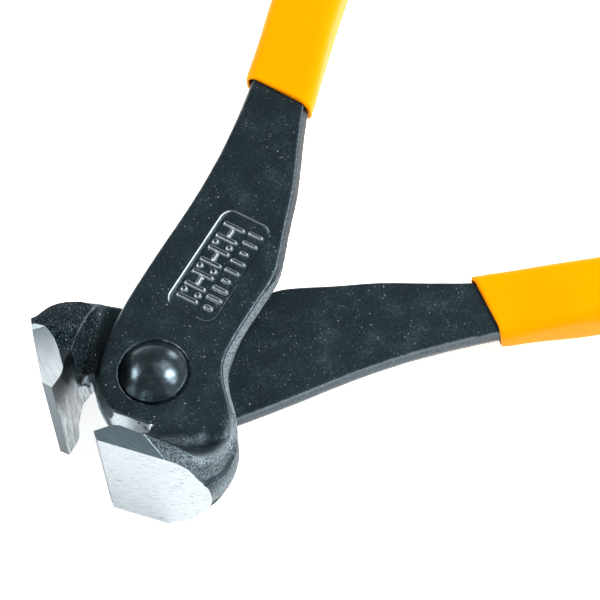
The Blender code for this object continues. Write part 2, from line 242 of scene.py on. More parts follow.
def placement(turned_over):
    """Where a lever's own frame lies in the tool."""
    over = Matrix.Rotation(math.pi if turned_over else 0.0, 4, 'X')
    return Matrix.Translation(PIVOT) @ over @ Matrix.Rotation(REST_HALF_ANGLE, 4, 'Z')


def local_copy(node):
    """A copy of a front node's mesh, in the lever's own frame and in millimetres."""
    bm = bmesh.new()
    bm.from_mesh(frame["nodes"][node].data)
    bm.transform(Matrix.Scale(1 / MM, 4) @ placement(False).inverted())
    return bm


def mesh_from(bm, name):
    """A smooth mesh from a bmesh."""
    bmesh.ops.recalc_face_normals(bm, faces=bm.faces)
    mesh = bpy.data.meshes.new(name)
    bm.to_mesh(mesh)
    bm.free()
    mesh.shade_smooth()
    return mesh


def place(name, mesh, material, turned_over, body, node, slot):
    """Puts a finished mesh, in millimetres, in the tool in place of its CAD node."""
    mesh.transform(placement(turned_over) @ Matrix.Scale(MM, 4))
    piece = bpy.data.objects.new(name, mesh)
    bpy.context.scene.collection.objects.link(piece)
    mesh.materials.append(material)
    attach(piece, body)
    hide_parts(node)


def smoothstep(low, high, value):
    """0 below low, 1 above high, and a smooth curve between them."""
    t = np.clip((value - low) / (high - low), 0.0, 1.0)
    return t * t * (3 - 2 * t)


# ---------------------------------------------------------------- levers


def ground_planes():
    """The jaw's four ground planes, as a point and a unit normal: end, strip and two sides."""
    angles = (END_ANGLE, STRIP_ANGLE)
    ends = [(END_CORNER, Vector((math.cos(angle), math.sin(angle), 0.0))) for angle in angles]
    sides = [
        (
            Vector((END_CORNER.x, 0.0, side * JAW_HALF_WIDTH)),
            Vector((math.sin(SIDE_LEAN), 0.0, side * math.cos(SIDE_LEAN))),
        )
        for side in (1, -1)
    ]
    return ends + sides


def boss_flat_plane():
    """The flat ground on the front of the boss."""
    return BOSS_FLAT_POINT, Vector((-math.cos(BOSS_FLAT_LEAN), 0.0, math.sin(BOSS_FLAT_LEAN)))


def fine_mesh(bm):
    """The solid as one fine, even and softened surface, in millimetres."""
    mesh = bpy.data.meshes.new("coarse")
    bm.to_mesh(mesh)
    work = bpy.data.objects.new("fine", mesh)
    bpy.context.scene.collection.objects.link(work)
    even = work.modifiers.new("even", 'REMESH')
    even.mode = 'VOXEL'
    even.voxel_size = VOXEL
    soften = work.modifiers.new("soften", 'SMOOTH')
    soften.factor = 0.5
    soften.iterations = SOFTENING
    evaluated = work.evaluated_get(bpy.context.evaluated_depsgraph_get())
    result = bpy.data.meshes.new_from_object(evaluated)
    bpy.data.objects.remove(work)
    bpy.data.meshes.remove(mesh)
    return result


def rounded_box_distance(x, y, centre, size, angle, radius):
    """Distance outside a rounded rectangle, negative inside it."""
    dx, dy = x - centre[0], y - centre[1]
    along = dx * math.cos(angle) + dy * math.sin(angle)
    across = -dx * math.sin(angle) + dy * math.cos(angle)
    qx = np.abs(along) - size[0] / 2 + radius
    qy = np.abs(across) - size[1] / 2 + radius
    outside = np.hypot(np.maximum(qx, 0), np.maximum(qy, 0))
    return outside + np.minimum(np.maximum(qx, qy), 0) - radius


def raised_marks():
    """Plain raised bars and studs in two rows, as (centre, size, angle, radius)."""
    turn = Matrix.Rotation(PANEL_ANGLE, 2)
    marks = []

    def add_mark(along, across, size, radius):
        centre = Vector(PANEL_CENTRE) + turn @ Vector((along, across))
        marks.append((centre, size, PANEL_ANGLE, radius))

    for i in range(BARS):
        add_mark(-8.1 + BAR_PITCH * i, BARS_Y, (0.95, 4.3), 0.45)
        if i % 2:
            add_mark(-6.8 + BAR_PITCH * i, BARS_Y, (1.9, 0.85), 0.4)
        elif i < BARS - 1:
            for across in (3.2, 0.35):
                add_mark(-6.75 + BAR_PITCH * i, across, (1.25, 1.25), 0.62)
    for i in range(DASHES):
        add_mark(-8.0 + DASH_PITCH * i, DASHES_Y, (0.85, 3.0 if i % 3 else 1.7), 0.42)
    return marks


def panel_height(x, y):
    """Height of the outer face above the plate: the recess, less the marks in it."""
    inside = -rounded_box_distance(x, y, PANEL_CENTRE, PANEL_SIZE, PANEL_ANGLE, PANEL_R)
    height = -PANEL_DEPTH * smoothstep(0.0, PANEL_WALL, inside)
    for centre, size, angle, radius in raised_marks():
        into = -rounded_box_distance(x, y, centre, size, angle, radius)
        height += MARK_HEIGHT * smoothstep(-MARK_EDGE / 2, MARK_EDGE, into)
    return height


def mark_edge_glints(x, y):
    """How bright the painted highlights on the edges of the marks and the panel are, most on the panel's
    outer side and its far end.
    """
    border = rounded_box_distance(x, y, PANEL_CENTRE, PANEL_SIZE, PANEL_ANGLE, PANEL_R)
    dx, dy = x - PANEL_CENTRE[0], y - PANEL_CENTRE[1]
    along = dx * math.cos(PANEL_ANGLE) + dy * math.sin(PANEL_ANGLE)
    across = dy * math.cos(PANEL_ANGLE) - dx * math.sin(PANEL_ANGLE)
    outer_side = smoothstep(PANEL_SIZE[1] / 2 - 1.2, PANEL_SIZE[1] / 2 - 0.4, across)
    far_end = smoothstep(PANEL_SIZE[0] / 2 - 1.2, PANEL_SIZE[0] / 2 - 0.4, along)
    rims = (0.1 + 1.2 * outer_side + 0.6 * far_end) * np.exp(-((border / GLINT_LINE) ** 2))
    for centre, size, angle, radius in raised_marks():
        edge = rounded_box_distance(x, y, centre, size, angle, radius) + MARK_EDGE / 2
        rims = np.maximum(rims, np.exp(-((edge / GLINT_LINE) ** 2)))
    return rims


def refine_panel(mesh):
    """Splits the faces of the panel so that its marks come out crisp."""
    bm = bmesh.new()
    bm.from_mesh(mesh)
    centre = Vector((*PANEL_CENTRE, PLATE))
    reach = PANEL_SIZE[0] / 2 + 1.0
    turn = Matrix.Rotation(-PANEL_ANGLE, 2)

    def in_panel(vert):
        if vert.co.z < PLATE - FACE_SKIN or abs(vert.co.x - centre.x) > reach:
            return False
        across = (turn @ (vert.co.xy - centre.xy)).y
        return abs(across) < PANEL_SIZE[1] / 2 + PANEL_MARGIN

    edges = [e for e in bm.edges if in_panel(e.verts[0]) and in_panel(e.verts[1])]
    bmesh.ops.subdivide_edges(bm, edges=edges, cuts=1, use_grid_fill=True)
    bm.to_mesh(mesh)
    bm.free()


def read_points(mesh):
    """The mesh's points as an array."""
    points = np.empty(len(mesh.vertices) * 3)
    mesh.vertices.foreach_get("co", points)
    return points.reshape(-1, 3)


def read_normals(mesh):
    """The mesh's normals at its points as an array."""
    normals = np.empty(len(mesh.vertices) * 3)
    mesh.vertices.foreach_get("normal", normals)
    return normals.reshape(-1, 3)


def write_points(mesh, points):
    """Moves the mesh's points."""
    mesh.vertices.foreach_set("co", points.ravel())
    mesh.update()


def curvature(mesh, points, passes):
    """How sharply the surface bulges at each point, evened out over its neighbours."""
    edges = np.empty(len(mesh.edges) * 2, dtype=np.int64)
    mesh.edges.foreach_get("vertices", edges)
    a, b = edges.reshape(-1, 2).T
    count = np.bincount(np.concatenate((a, b)), minlength=len(points))

    def mean_of_neighbours(values):
        total = np.zeros_like(values)
        np.add.at(total, a, values[b])
        np.add.at(total, b, values[a])
        return total / (count if values.ndim == 1 else count[:, None])

    bulge = ((points - mean_of_neighbours(points)) * read_normals(mesh)).sum(axis=1)
    for _ in range(passes):
        bulge = 0.5 * bulge + 0.5 * mean_of_neighbours(bulge)
    return bulge


def line_distance(points, line):
    """Distance from each point to a line of straight pieces."""
    nearest = np.full(len(points), 1e9)
    for start, end in zip(np.array(line), np.array(line)[1:]):
        along = end - start
        t = np.clip(((points - start) @ along) / (along @ along), 0.0, 1.0)
        away = np.linalg.norm(points - start - t[:, None] * along, axis=1)
        nearest = np.minimum(nearest, away)
    return nearest


def forge_relief(points, normals):
    """Presses the valley, rim, hollow and crease into the skin beside the jaw.

    Near the end face the skin only moves along that face, so that the cut there stays clean.
    """
    beside = (points[:, 0] < 0) & (points[:, 1] < BESIDE_JAW_Y)
    near = np.nonzero(beside & (np.abs(points[:, 2]) > RELIEF_OFF_LAP))[0]
    shift = np.zeros(len(near))
    for line, reach, height in RELIEF:
        t = np.clip(line_distance(points[near], line) / reach, 0.0, 1.0)
        shift += height * (1 - t * t) ** 2
    end_origin, end_normal = (np.array(value) for value in ground_planes()[0])
    close = smoothstep(-FOLLOW_END, -FOLLOW_END_WHOLLY, (points[near] - end_origin) @ end_normal)
    facing = close * (normals[near] @ end_normal)
    ways = normals[near] - facing[:, None] * end_normal
    ways /= np.maximum(np.linalg.norm(ways, axis=1), 0.3)[:, None]
    points[near] += ways * shift[:, None]


def rubbed_skin(points):
    """How far the scale is rubbed away at each point, from 0 to 1."""
    rubbed = np.zeros(len(points))
    beside = (points[:, 0] < 0) & (points[:, 1] < BESIDE_JAW_Y)
    near = np.nonzero(beside & (points[:, 2] > RUBBED_FROM_Z))[0]
    for line, reach, strength in RUBBED:
        t = np.clip(line_distance(points[near], line) / reach, 0.0, 1.0)
        rubbed[near] += strength * (1 - t * t) ** 2
    return np.clip(rubbed, 0.0, 1.0)


def snap_boss_flat(points, bvh):
    """Flattens the ground flat of the boss again. Returns a mask of the points on it."""
    origin, flat_normal = boss_flat_plane()
    ground = np.zeros(len(points), dtype=bool)
    x, y = points[:, 0], points[:, 1]
    for i in np.nonzero((x > BOSS_FLAT_FROM_X) & (x < BOSS_FLAT_TO_X) & (y > BOSS_FLAT_END_Y))[0]:
        point = Vector(points[i])
        away = (point - origin).dot(flat_normal)
        if abs(away) < GROUND_REACH and bvh.find_nearest(point)[1].dot(flat_normal) > 0.999:
            points[i] = point - flat_normal * away
            ground[i] = True
    return ground


def draw_out_stock(points):
    """Draws the jaw's skin out past each ground plane, so that a cut there is crisp."""
    jaw = points[:, 0] < JAW_X
    for origin, normal in ground_planes():
        height = (points - np.array(origin)) @ np.array(normal)
        out = STOCK * smoothstep(-STOCK_FROM_DEPTH, -STOCK_FULL_DEPTH, height) * jaw
        points += out[:, None] * np.array(normal)


def grind(mesh):
    """Cuts the jaw flat on each of its ground planes."""
    bm = bmesh.new()
    bm.from_mesh(mesh)
    wear_and_glint = bm.verts.layers.float["wear_and_glint"]
    for origin, normal in ground_planes():
        faces = [f for f in bm.faces if all(v.co.x < CUT_X for v in f.verts)]
        edges = {e for f in faces for e in f.edges}
        verts = {v for f in faces for v in f.verts}
        cut = bmesh.ops.bisect_plane(
            bm, geom=[*verts, *edges, *faces], dist=1e-4,
            plane_co=origin, plane_no=normal, clear_outer=True,
        )
        rim = [e for e in cut["geom_cut"] if isinstance(e, bmesh.types.BMEdge) and e.is_boundary]
        filled = bmesh.ops.triangle_fill(
            bm, edges=rim, use_beauty=True, use_dissolve=False, normal=normal
        )
        for edge in rim:
            edge.smooth = False
            for vert in edge.verts:
                vert[wear_and_glint] = 0.0
        for face in filled["geom"]:
            if isinstance(face, bmesh.types.BMFace):
                face.smooth = False
    bmesh.ops.recalc_face_normals(bm, faces=bm.faces)
    bm.to_mesh(mesh)
    bm.free()


def forged_scale(points, normals, ground):
    """Moves the forged skin in and out a little, and more around the jaw."""
    from_pivot = np.hypot(points[:, 0], points[:, 1]) * (points[:, 0] < 0)
    jaw = smoothstep(JAW_SCALE_FROM_R, JAW_SCALE_FULL_R, from_pivot)
    throat = (points[:, 0] < THROAT_X) & (points[:, 1] > THROAT_Y)
    depth = SCALE_DEPTH + (JAW_SCALE_DEPTH - SCALE_DEPTH) * jaw
    depth[ground | throat] = 0.0
    for i in np.nonzero((depth > 0) & (points[:, 0] < SCALE_END_X))[0]:
        point = Vector(points[i])
        wave = noise.noise(point * 0.28) + 0.5 * noise.noise(point * 0.9)
        pits = min(0.0, noise.noise(point * 1.7) + 0.25)
        points[i] += normals[i] * depth[i] * (0.7 * wave + 0.8 * pits)


def press_panel(points, wear_and_glint):
    """Presses the panel and its marks into the outer face, and paints highlights along their edges in place
    of the edge wear there.
    """
    x, y = points[:, 0], points[:, 1]
    inside = -rounded_box_distance(x, y, PANEL_CENTRE, PANEL_SIZE, PANEL_ANGLE, PANEL_R)
    panel = (points[:, 2] > PLATE - FACE_SKIN) & (inside > -PANEL_MARGIN)
    flat = smoothstep(-PANEL_MARGIN, 0.0, inside[panel])
    level = PLATE + panel_height(x[panel], y[panel])
    points[panel, 2] += (level - points[panel, 2]) * flat
    wear_and_glint[panel] *= 1 - flat
    wear_and_glint[panel] += MARK_GLINT * mark_edge_glints(x[panel], y[panel]) * flat


def fill_seat(points, wear_and_glint):
    """Closes the sunk seat round the rivet's head up to a thin gap, and paints dotted glints on its rim."""
    radius = np.hypot(points[:, 0], points[:, 1])
    outer_face = points[:, 2] > PLATE - FACE_SKIN
    seat = outer_face & (radius > SHANK_R + 0.6) & (radius < SEAT_R + SEAT_REACH)
    r = radius[seat]
    inside = smoothstep(HEAD_R + 0.28, HEAD_R + 0.12, r)
    level = PLATE - SEAT_DEPTH * inside
    blend = smoothstep(SEAT_R + SEAT_REACH, SEAT_R + SEAT_REACH / 2, r)
    points[seat, 2] += (level - points[seat, 2]) * blend
    # Painted highlight: glints in dots round the rim of the seat, brightest on the bearing and opposite it.
    bearing = np.arctan2(points[seat, 1], points[seat, 0])
    dotted_glint = 0.5 + 0.5 * np.cos(2.0 * (bearing - SEAT_GLINT_BEARING))
    dotted_glint *= 0.65 + 0.35 * np.sin(23.0 * bearing) * np.sin(7.0 * bearing + 1.0)
    rim = np.exp(-(((r - SEAT_RIM_R) / 0.12) ** 2))
    wear_and_glint[seat] = SEAT_GLINT * rim * dotted_glint


def lever_mesh():
    """One finished forging, in millimetres, with its edge wear and painted glints, and its rubbing, as
    attributes.
    """
    source = local_copy("front_lever")
    bvh = BVHTree.FromBMesh(source)
    mesh = fine_mesh(source)
    source.free()
    refine_panel(mesh)
    points = read_points(mesh)
    flat = snap_boss_flat(points, bvh)
    forge_relief(points, read_normals(mesh))
    write_points(mesh, points)
    wear_and_glint = curvature(mesh, points, 2)
    rubbed = rubbed_skin(points)
    forged_scale(points, read_normals(mesh), flat)
    press_panel(points, wear_and_glint)
    fill_seat(points, wear_and_glint)
    draw_out_stock(points)
    write_points(mesh, points)
    mesh.shade_smooth()
    for name, values in (("wear_and_glint", wear_and_glint), ("rubbed", rubbed)):
        mesh.attributes.new(name, 'FLOAT', 'POINT').data.foreach_set("value", values)
    grind(mesh)
    return mesh


# ---------------------------------------------------------------- rivet and grips


def rivet_mesh():
    """The rivet: a round shank with a peened dome at each end."""
    low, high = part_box("pivot_rivet")
    top = (high.z - low.z) / MM / 2
    foot = top - HEAD_HEIGHT
    dome_r = (HEAD_R**2 + HEAD_HEIGHT**2) / (2 * HEAD_HEIGHT)
    widest = math.asin(HEAD_R / dome_r)
    leans = [widest * i / DOME_STEPS for i in range(1, DOME_STEPS + 1)]
    dome = [(dome_r * math.sin(a), top - dome_r * (1 - math.cos(a))) for a in leans]
    half = [(r, z) for r, z in dome if z > foot + HEAD_BEAD]
    half += [(HEAD_R - 0.05, foot + HEAD_BEAD), (HEAD_R - 0.2, foot + 0.05)]
    half += [(HEAD_R - 0.5, foot), (SHANK_R, foot)]
    profile = [(0.0, top), *half, *[(r, -z) for r, z in reversed(half)], (0.0, -top)]

    bm = bmesh.new()
    verts = [bm.verts.new((r, 0, z)) for r, z in profile]
    edges = [bm.edges.new(pair) for pair in zip(verts, verts[1:])]
    bmesh.ops.spin(
        bm, geom=verts + edges, cent=(0, 0, 0), axis=(0, 0, 1),
        angle=math.tau, steps=112, use_merge=True,
    )
    bmesh.ops.remove_doubles(bm, verts=bm.verts, dist=0.001)
    for vert in bm.verts:
        if abs(vert.co.z) > foot + HEAD_BEAD:
            dent = noise.noise(vert.co * 0.35) + 0.5 * noise.noise(vert.co * 0.8)
            vert.co -= vert.co.normalized() * (DENT * max(0.0, dent) + DOME_SKIM)
    return mesh_from(bm, "rivet")


def spans(bvh, xs):
    """The solid's middle and half width across Y at each X, evened out a little."""
    far = 60.0
    rows = []
    for x in xs:
        outer = bvh.ray_cast(Vector((x, far, GRIP_MIDDLE_Z)), Vector((0, -1, 0)))[0]
        inner = bvh.ray_cast(Vector((x, -far, GRIP_MIDDLE_Z)), Vector((0, 1, 0)))[0]
        rows.append(((outer.y + inner.y) / 2, (outer.y - inner.y) / 2))
    rows = np.array(rows)
    for _ in range(6):
        rows[1:-1] = (rows[:-2] + 2 * rows[1:-1] + rows[2:]) / 4
    return rows


def section(half_width, half_height, radius):
    """Points round a rounded rectangle, evenly spaced by angle within each corner."""
    radius = min(radius, half_width * 0.98, half_height * 0.98)
    points = []
    per_corner = GRIP_POINTS // 4
    for corner, (sy, sz) in enumerate(((1, 1), (-1, 1), (-1, -1), (1, -1))):
        for i in range(per_corner):
            a = math.radians(90 * corner + 90 * (i + 0.5) / per_corner)
            points.append((
                sy * (half_width - radius) + radius * math.cos(a),
                sz * (half_height - radius) + radius * math.sin(a),
            ))
    return points


def grip_mesh():
    """A dipped grip: outer skin, rounded end, rolled lip and the pocket for the handle."""
    grip = local_copy("front_grip")
    lever = local_copy("front_lever")
    grip_bvh, lever_bvh = BVHTree.FromBMesh(grip), BVHTree.FromBMesh(lever)
    end_x = max(v.co.x for v in grip.verts) - END_CLEARANCE
    tang_x = max(v.co.x for v in lever.verts)
    grip.free()
    lever.free()

    start = MOUTH_X + 2.5
    body_xs = np.arange(start, end_x - CAP_LENGTH, 1.0)
    body = spans(grip_bvh, body_xs)
    pocket_xs = np.arange(MOUTH_X - 6.0, tang_x - 1.5, 1.5)
    pocket = spans(lever_bvh, pocket_xs)
    drift = (body[-1, 0] - body[-12, 0]) / (body_xs[-1] - body_xs[-12])

    def outer_size(x):
        """The skin's middle, half width and half height, and how far the cap has shrunk it."""
        middle = np.interp(x, body_xs, body[:, 0])
        if x < start:
            middle = body[0, 0] - (start - x) * 0.1
        beyond = max(0.0, x - body_xs[-1])
        middle += drift * beyond - 0.004 * beyond**2
        swell = float(smoothstep(0.0, SWELL_LENGTH, x - MOUTH_X))
        height = MOUTH_HALF_HEIGHT + (FULL_HALF_HEIGHT - MOUTH_HALF_HEIGHT) * swell
        cap = min(1.0, beyond / (end_x - body_xs[-1]))
        shrink = max(0.0, 1 - cap**2.4) ** (1 / 2.1)
        return middle, np.interp(x, body_xs, body[:, 1]), height, shrink

    def ring(x, inset, size, radius, slant):
        """A ring of points round the grip, leaning as the mouth does."""
        middle, half_width, height, shrink = size
        verts = []
        for y, z in section(half_width * shrink - inset, height * shrink - inset, radius):
            v = y / half_width
            shift = (MOUTH_SLANT * v - MOUTH_BOW * v * v) * slant
            verts.append(bm.verts.new((x + shift, middle + y, GRIP_MIDDLE_Z + z)))
        return verts

    def slant_at(x):
        """How much of the mouth's slant is left at X."""
        return max(0.0, 1 - max(0.0, x - MOUTH_X) / SLANT_FADE) ** 2

    def pocket_size(x):
        """The pocket's middle, half width and half height, with nothing shrunk."""
        middle = np.interp(x, pocket_xs, pocket[:, 0])
        half_width = np.interp(x, pocket_xs, pocket[:, 1]) + POCKET_GAP
        return middle, half_width, (PLATE + 0.3) / 2, 1.0

    bm = bmesh.new()
    rings = []
    for x in np.arange(tang_x + 0.5, MOUTH_X + 1.0, -2.0):
        rings.append(ring(x, 0.0, pocket_size(min(x, tang_x - 2)), POCKET_R, slant_at(x)))
    for x in (MOUTH_X + 0.9, MOUTH_X + 0.4, MOUTH_X + 0.15):
        rings.append(ring(x, 0.0, pocket_size(x), POCKET_R, 1.0))
    for i in range(6, -1, -1):
        a = math.radians(90 * i / 6)
        x = MOUTH_X + LIP_R * (1 - math.sin(a))
        inset = LIP_R * (1 - math.cos(a))
        rings.append(ring(x, inset, outer_size(MOUTH_X), GRIP_CORNER_R - inset, 1.0))
    for x in (*np.arange(MOUTH_X + 1.2, body_xs[-1], 1.2), body_xs[-1]):
        rings.append(ring(x, 0.0, outer_size(x), GRIP_CORNER_R, slant_at(x)))
    for i in range(1, CAP_RINGS):
        a = math.radians(90 * i / (CAP_RINGS - 0.5))
        x = body_xs[-1] + (end_x - body_xs[-1]) * math.sin(a)
        size = outer_size(x)
        rings.append(ring(x, 0.0, size, GRIP_CORNER_R + 2 * (1 - size[3]), 0.0))
    for near, far in zip(rings, rings[1:]):
        for i in range(len(near)):
            j = (i + 1) % len(near)
            bm.faces.new((near[i], near[j], far[j], far[i]))
    bm.faces.new(rings[0])
    bm.faces.new(rings[-1][::-1])
    return mesh_from(bm, "grip")


# ---------------------------------------------------------------- materials


class Shader:
    """A Principled material whose nodes are written as plain expressions."""

    def __init__(self, name, turned_over=False):
        self.material = bpy.data.materials.new(name)
        self.material.use_nodes = True
        self.tree = self.material.node_tree
        self.surface = self.tree.nodes["Principled BSDF"]
        coordinates = self.tree.nodes.new("ShaderNodeTexCoord")
        self.normal = coordinates.outputs["Normal"]
        into_lever = self.tree.nodes.new("ShaderNodeMapping")
        into_lever.vector_type = 'TEXTURE'
        turn = placement(turned_over).to_euler()
        self.fill(into_lever, {0: coordinates.outputs["Object"], 1: PIVOT, 2: turn, 3: (MM, MM, MM)})
        self.place = into_lever.outputs[0]

    def fill(self, node, inputs):
        """Links or sets a node's inputs."""
        for key, value in inputs.items():
            if isinstance(value, bpy.types.NodeSocket):
                self.tree.links.new(value, node.inputs[key])
            else:
                node.inputs[key].default_value = value
        return node

    def attribute(self, name):
        """A value that the mesh carries at its points."""
        node = self.tree.nodes.new("ShaderNodeAttribute")
        node.attribute_name = name
        return node.outputs["Fac"]

    def math(self, operation, a, b=0.0):
        node = self.tree.nodes.new("ShaderNodeMath")
        node.operation = operation
        return self.fill(node, {0: a, 1: b}).outputs[0]

    def times(self, first, *others):
        """The product of all the values."""
        for other in others:
            first = self.math('MULTIPLY', first, other)
        return first

    def most(self, first, *others):
        """The largest of all the values."""
        for other in others:
            first = self.math('MAXIMUM', first, other)
        return first

    def along(self, direction):
        """How far the place lies along a direction."""
        node = self.tree.nodes.new("ShaderNodeVectorMath")
        node.operation = 'DOT_PRODUCT'
        return self.fill(node, {0: self.place, 1: tuple(direction)}).outputs["Value"]

    def parts(self, vector):
        """A vector's X, Y and Z."""
        node = self.tree.nodes.new("ShaderNodeSeparateXYZ")
        return list(self.fill(node, {0: vector}).outputs)

    def ramp(self, value, low, high, to_low=0.0, to_high=1.0):
        """A smooth step from to_low to to_high. It falls if low is above high."""
        node = self.tree.nodes.new("ShaderNodeMapRange")
        node.interpolation_type = 'SMOOTHSTEP'
        return self.fill(node, {0: value, 1: low, 2: high, 3: to_low, 4: to_high}).outputs[0]

    def shifted_place(self, offset):
        """The place, shifted so that the same noise comes out different."""
        mapping = self.tree.nodes.new("ShaderNodeMapping")
        return self.fill(mapping, {0: self.place, 1: (offset, offset, offset)}).outputs[0]

    def noise(self, scale, detail=3.0, roughness=0.5, offset=0.0, vector=None):
        node = self.tree.nodes.new("ShaderNodeTexNoise")
        place = vector or self.shifted_place(offset)
        inputs = {"Vector": place, "Scale": scale, "Detail": detail, "Roughness": roughness}
        return self.fill(node, inputs).outputs[0]

    def grain(self, direction, scale, squeeze, detail=3.0):
        """Streaks that run along a direction."""
        direction = Vector(direction).normalized()
        across = direction.orthogonal().normalized()
        rows = [self.along(row) for row in (direction, across, direction.cross(across))]
        joined = self.tree.nodes.new("ShaderNodeCombineXYZ")
        self.fill(joined, {0: self.times(rows[0], squeeze), 1: rows[1], 2: rows[2]})
        return self.noise(scale, detail, 0.6, vector=joined.outputs[0])

    def specks(self, scale, radius, share, offset=0.0):
        """Small round specks, in this share of the cells."""
        node = self.tree.nodes.new("ShaderNodeTexVoronoi")
        self.fill(node, {"Vector": self.shifted_place(offset), "Scale": scale})
        dot = self.ramp(node.outputs["Distance"], radius * scale, radius * scale * 0.4)
        chosen = self.math('LESS_THAN', self.parts(node.outputs["Color"])[0], share)
        return self.times(dot, chosen)

    def mix(self, factor, a, b):
        """A colour between a and b."""
        node = self.tree.nodes.new("ShaderNodeMix")
        node.data_type = 'RGBA'
        return self.fill(node, {0: factor, 6: a, 7: b}).outputs[2]

    def blend(self, factor, a, b):
        """A number between a and b."""
        node = self.tree.nodes.new("ShaderNodeMix")
        return self.fill(node, {0: factor, 2: a, 3: b}).outputs[0]

    def bump(self, height, distance, strength, normal=None):
        """The surface's normal over a height whose full step is this distance in millimetres."""
        node = self.tree.nodes.new("ShaderNodeBump")
        inputs = {"Height": height, "Distance": distance * MM, "Strength": strength}
        if normal is not None:
            inputs["Normal"] = normal
        return self.fill(node, inputs).outputs[0]

    def finish(self, **inputs):
        """Sets the surface's inputs, which are named in lower case, and gives the material."""
        names = {key.replace("_", " ").title(): value for key, value in inputs.items()}
        names = {key.replace("Ior", "IOR"): value for key, value in names.items()}
        self.fill(self.surface, names)
        return self.material


def grey(value, blue=0.0):
    """A grey that leans a little to blue."""
    return (value * (1 - blue), value, value * (1 + 0.6 * blue), 1.0)


class LeverShader(Shader):
    """A lever's material, with the places and noises that its finishes share."""

    def __init__(self, name, turned_over, seed):
        super().__init__(name, turned_over)
        self.seed = seed
        self.x, self.y, self.z = self.parts(self.place)
        self.facing_up = self.math('ABSOLUTE', self.parts(self.normal)[2])
        self.broad = self.noise(0.22, 4.0, offset=seed)
        self.fine = self.noise(5.5, 3.0, 0.7, offset=seed)
        self.gritty = self.noise(3.0, 4.0, 0.75, offset=seed + 9)
        self.jaw = self.ramp(self.x, -8.0, -12.0)


def ground_mask(s, origin, normal):
    """1 on a ground plane of the jaw."""
    height = s.along(normal)
    level = origin.dot(normal)
    on_plane = s.times(s.ramp(height, level - 0.04, level - 0.02), s.ramp(height, level + 0.6, level + 0.5))
    return s.times(on_plane, s.ramp(s.x, -8.5, -9.0))


def lap_facet_mask(s):
    """1 on the facet of the lap side, which is ground on over the shoulder of the jaw."""
    towards_heel = s.math('POWER', s.times(s.math('MINIMUM', s.y, 0.0), -1 / 11.4), 4.0)
    limit = s.math('SUBTRACT', s.times(towards_heel, -3.0), s.math('ADD', s.x, 15.1))
    facet = s.times(s.ramp(limit, -0.08, 0.08), s.ramp(s.z, -9.8, -10.2))
    return s.times(facet, s.ramp(s.facing_up, 0.55, 0.65), s.ramp(s.y, -11.6, -11.3))


def boss_flat_mask(s):
    """1 on the ground flat of the boss."""
    flat = ground_mask(s, *boss_flat_plane())
    return s.times(flat, s.ramp(s.x, -12.2, -11.8), s.ramp(s.y, -4.3, -4.0), s.ramp(s.z, 0.3, 0.6))


def black_scale(s):
    """The black forged scale with its scuffs and specks, and where painted shade darkens the recess on the
    lap side of the jaw.
    """
    colour = s.mix(s.broad, grey(0.021, 0.46), grey(0.040, 0.42))
    colour = s.mix(s.ramp(s.fine, 0.50, 0.80), colour, grey(0.080, 0.35))
    # Painted shade: towards the jaw and below the lap plane, the recess is darkened almost to black, with a
    # little grit.
    recess_shade = s.times(s.ramp(s.x, -4.0, -8.0), s.ramp(s.z, 0.6, -0.4))
    recess_shade_colour = s.mix(s.ramp(s.gritty, 0.45, 0.62), grey(0.005, 0.5), grey(0.030, 0.45))
    colour = s.mix(recess_shade, colour, recess_shade_colour)
    scuffed = s.ramp(s.math('ADD', s.gritty, s.times(s.broad, 0.4)), 0.72, 0.92)
    colour = s.mix(s.times(scuffed, s.blend(s.jaw, 0.30, 0.45)), colour, grey(0.20, 0.25))
    colour = s.mix(s.ramp(s.gritty, 0.52, 0.72, 0.0, 0.35), colour, grey(0.11, 0.3))
    specks = s.most(s.specks(0.70, 0.15, 0.45, s.seed), s.specks(1.5, 0.085, 0.5, s.seed + 4))
    specks = s.times(specks, s.ramp(s.broad, 0.30, 0.62, 0.35, 1.0))
    return s.mix(specks, colour, grey(0.75, 0.08)), recess_shade


def trimmed_band(s):
    """Where the edge of the blade is trimmed, and its colour, which is brighter at the bend."""
    bend = s.times(s.ramp(s.x, 32.0, 20.0), s.ramp(s.y, 0.0, -3.0))
    over_slope = s.times(bend, s.ramp(s.x, -5.0, -1.0))
    above = s.math('SUBTRACT', s.z, s.blend(over_slope, BAND_TOP, BEND_TOP))
    steep = s.ramp(s.facing_up, s.blend(over_slope, 0.55, 0.97), s.blend(over_slope, 0.35, 0.93))
    band = s.times(s.ramp(above, 0.08, -0.08), steep)
    band = s.times(band, s.ramp(s.x, -12.5, -11.0), s.ramp(s.z, -0.7, -0.4))
    plain = s.mix(s.ramp(s.gritty, 0.35, 0.65), grey(0.03, 0.35), grey(0.12, 0.25))
    bright = s.mix(s.ramp(s.gritty, 0.36, 0.62), grey(0.06, 0.3), grey(0.34, 0.15))
    return band, s.mix(bend, plain, bright)


def machined_throat(s):
    """Where the throat is machined, its colour, darker towards the lap side, and its lines."""
    ragged = s.math('ADD', s.y, s.times(s.math('SUBTRACT', s.gritty, 0.5), 1.6))
    beside_lap = s.times(s.ramp(s.math('ABSOLUTE', s.z), 1.3, 1.0), s.ramp(ragged, -5.2, -4.8))
    beside_lap = s.times(beside_lap, s.ramp(s.x, -13.9, -13.4))
    throat = s.times(s.most(s.ramp(s.y, -3.95, -3.85), beside_lap), s.ramp(s.x, -9.9, -10.3))
    uneven = s.times(s.math('SUBTRACT', s.noise(0.9, 3.0, offset=s.seed), 0.5), 6.0)
    clean = s.ramp(s.math('ADD', s.z, uneven), -9.5, 1.5)
    lines = s.grain((0.0, 0.0, 1.0), 3.2, 0.06)
    colour = s.mix(s.ramp(lines, 0.35, 0.65), grey(0.24, 0.14), grey(0.66, 0.06))
    colour = s.mix(clean, grey(0.05, 0.2), colour)
    colour = s.mix(beside_lap, colour, s.mix(lines, grey(0.16, 0.25), grey(0.40, 0.18)))
    return throat, colour, lines


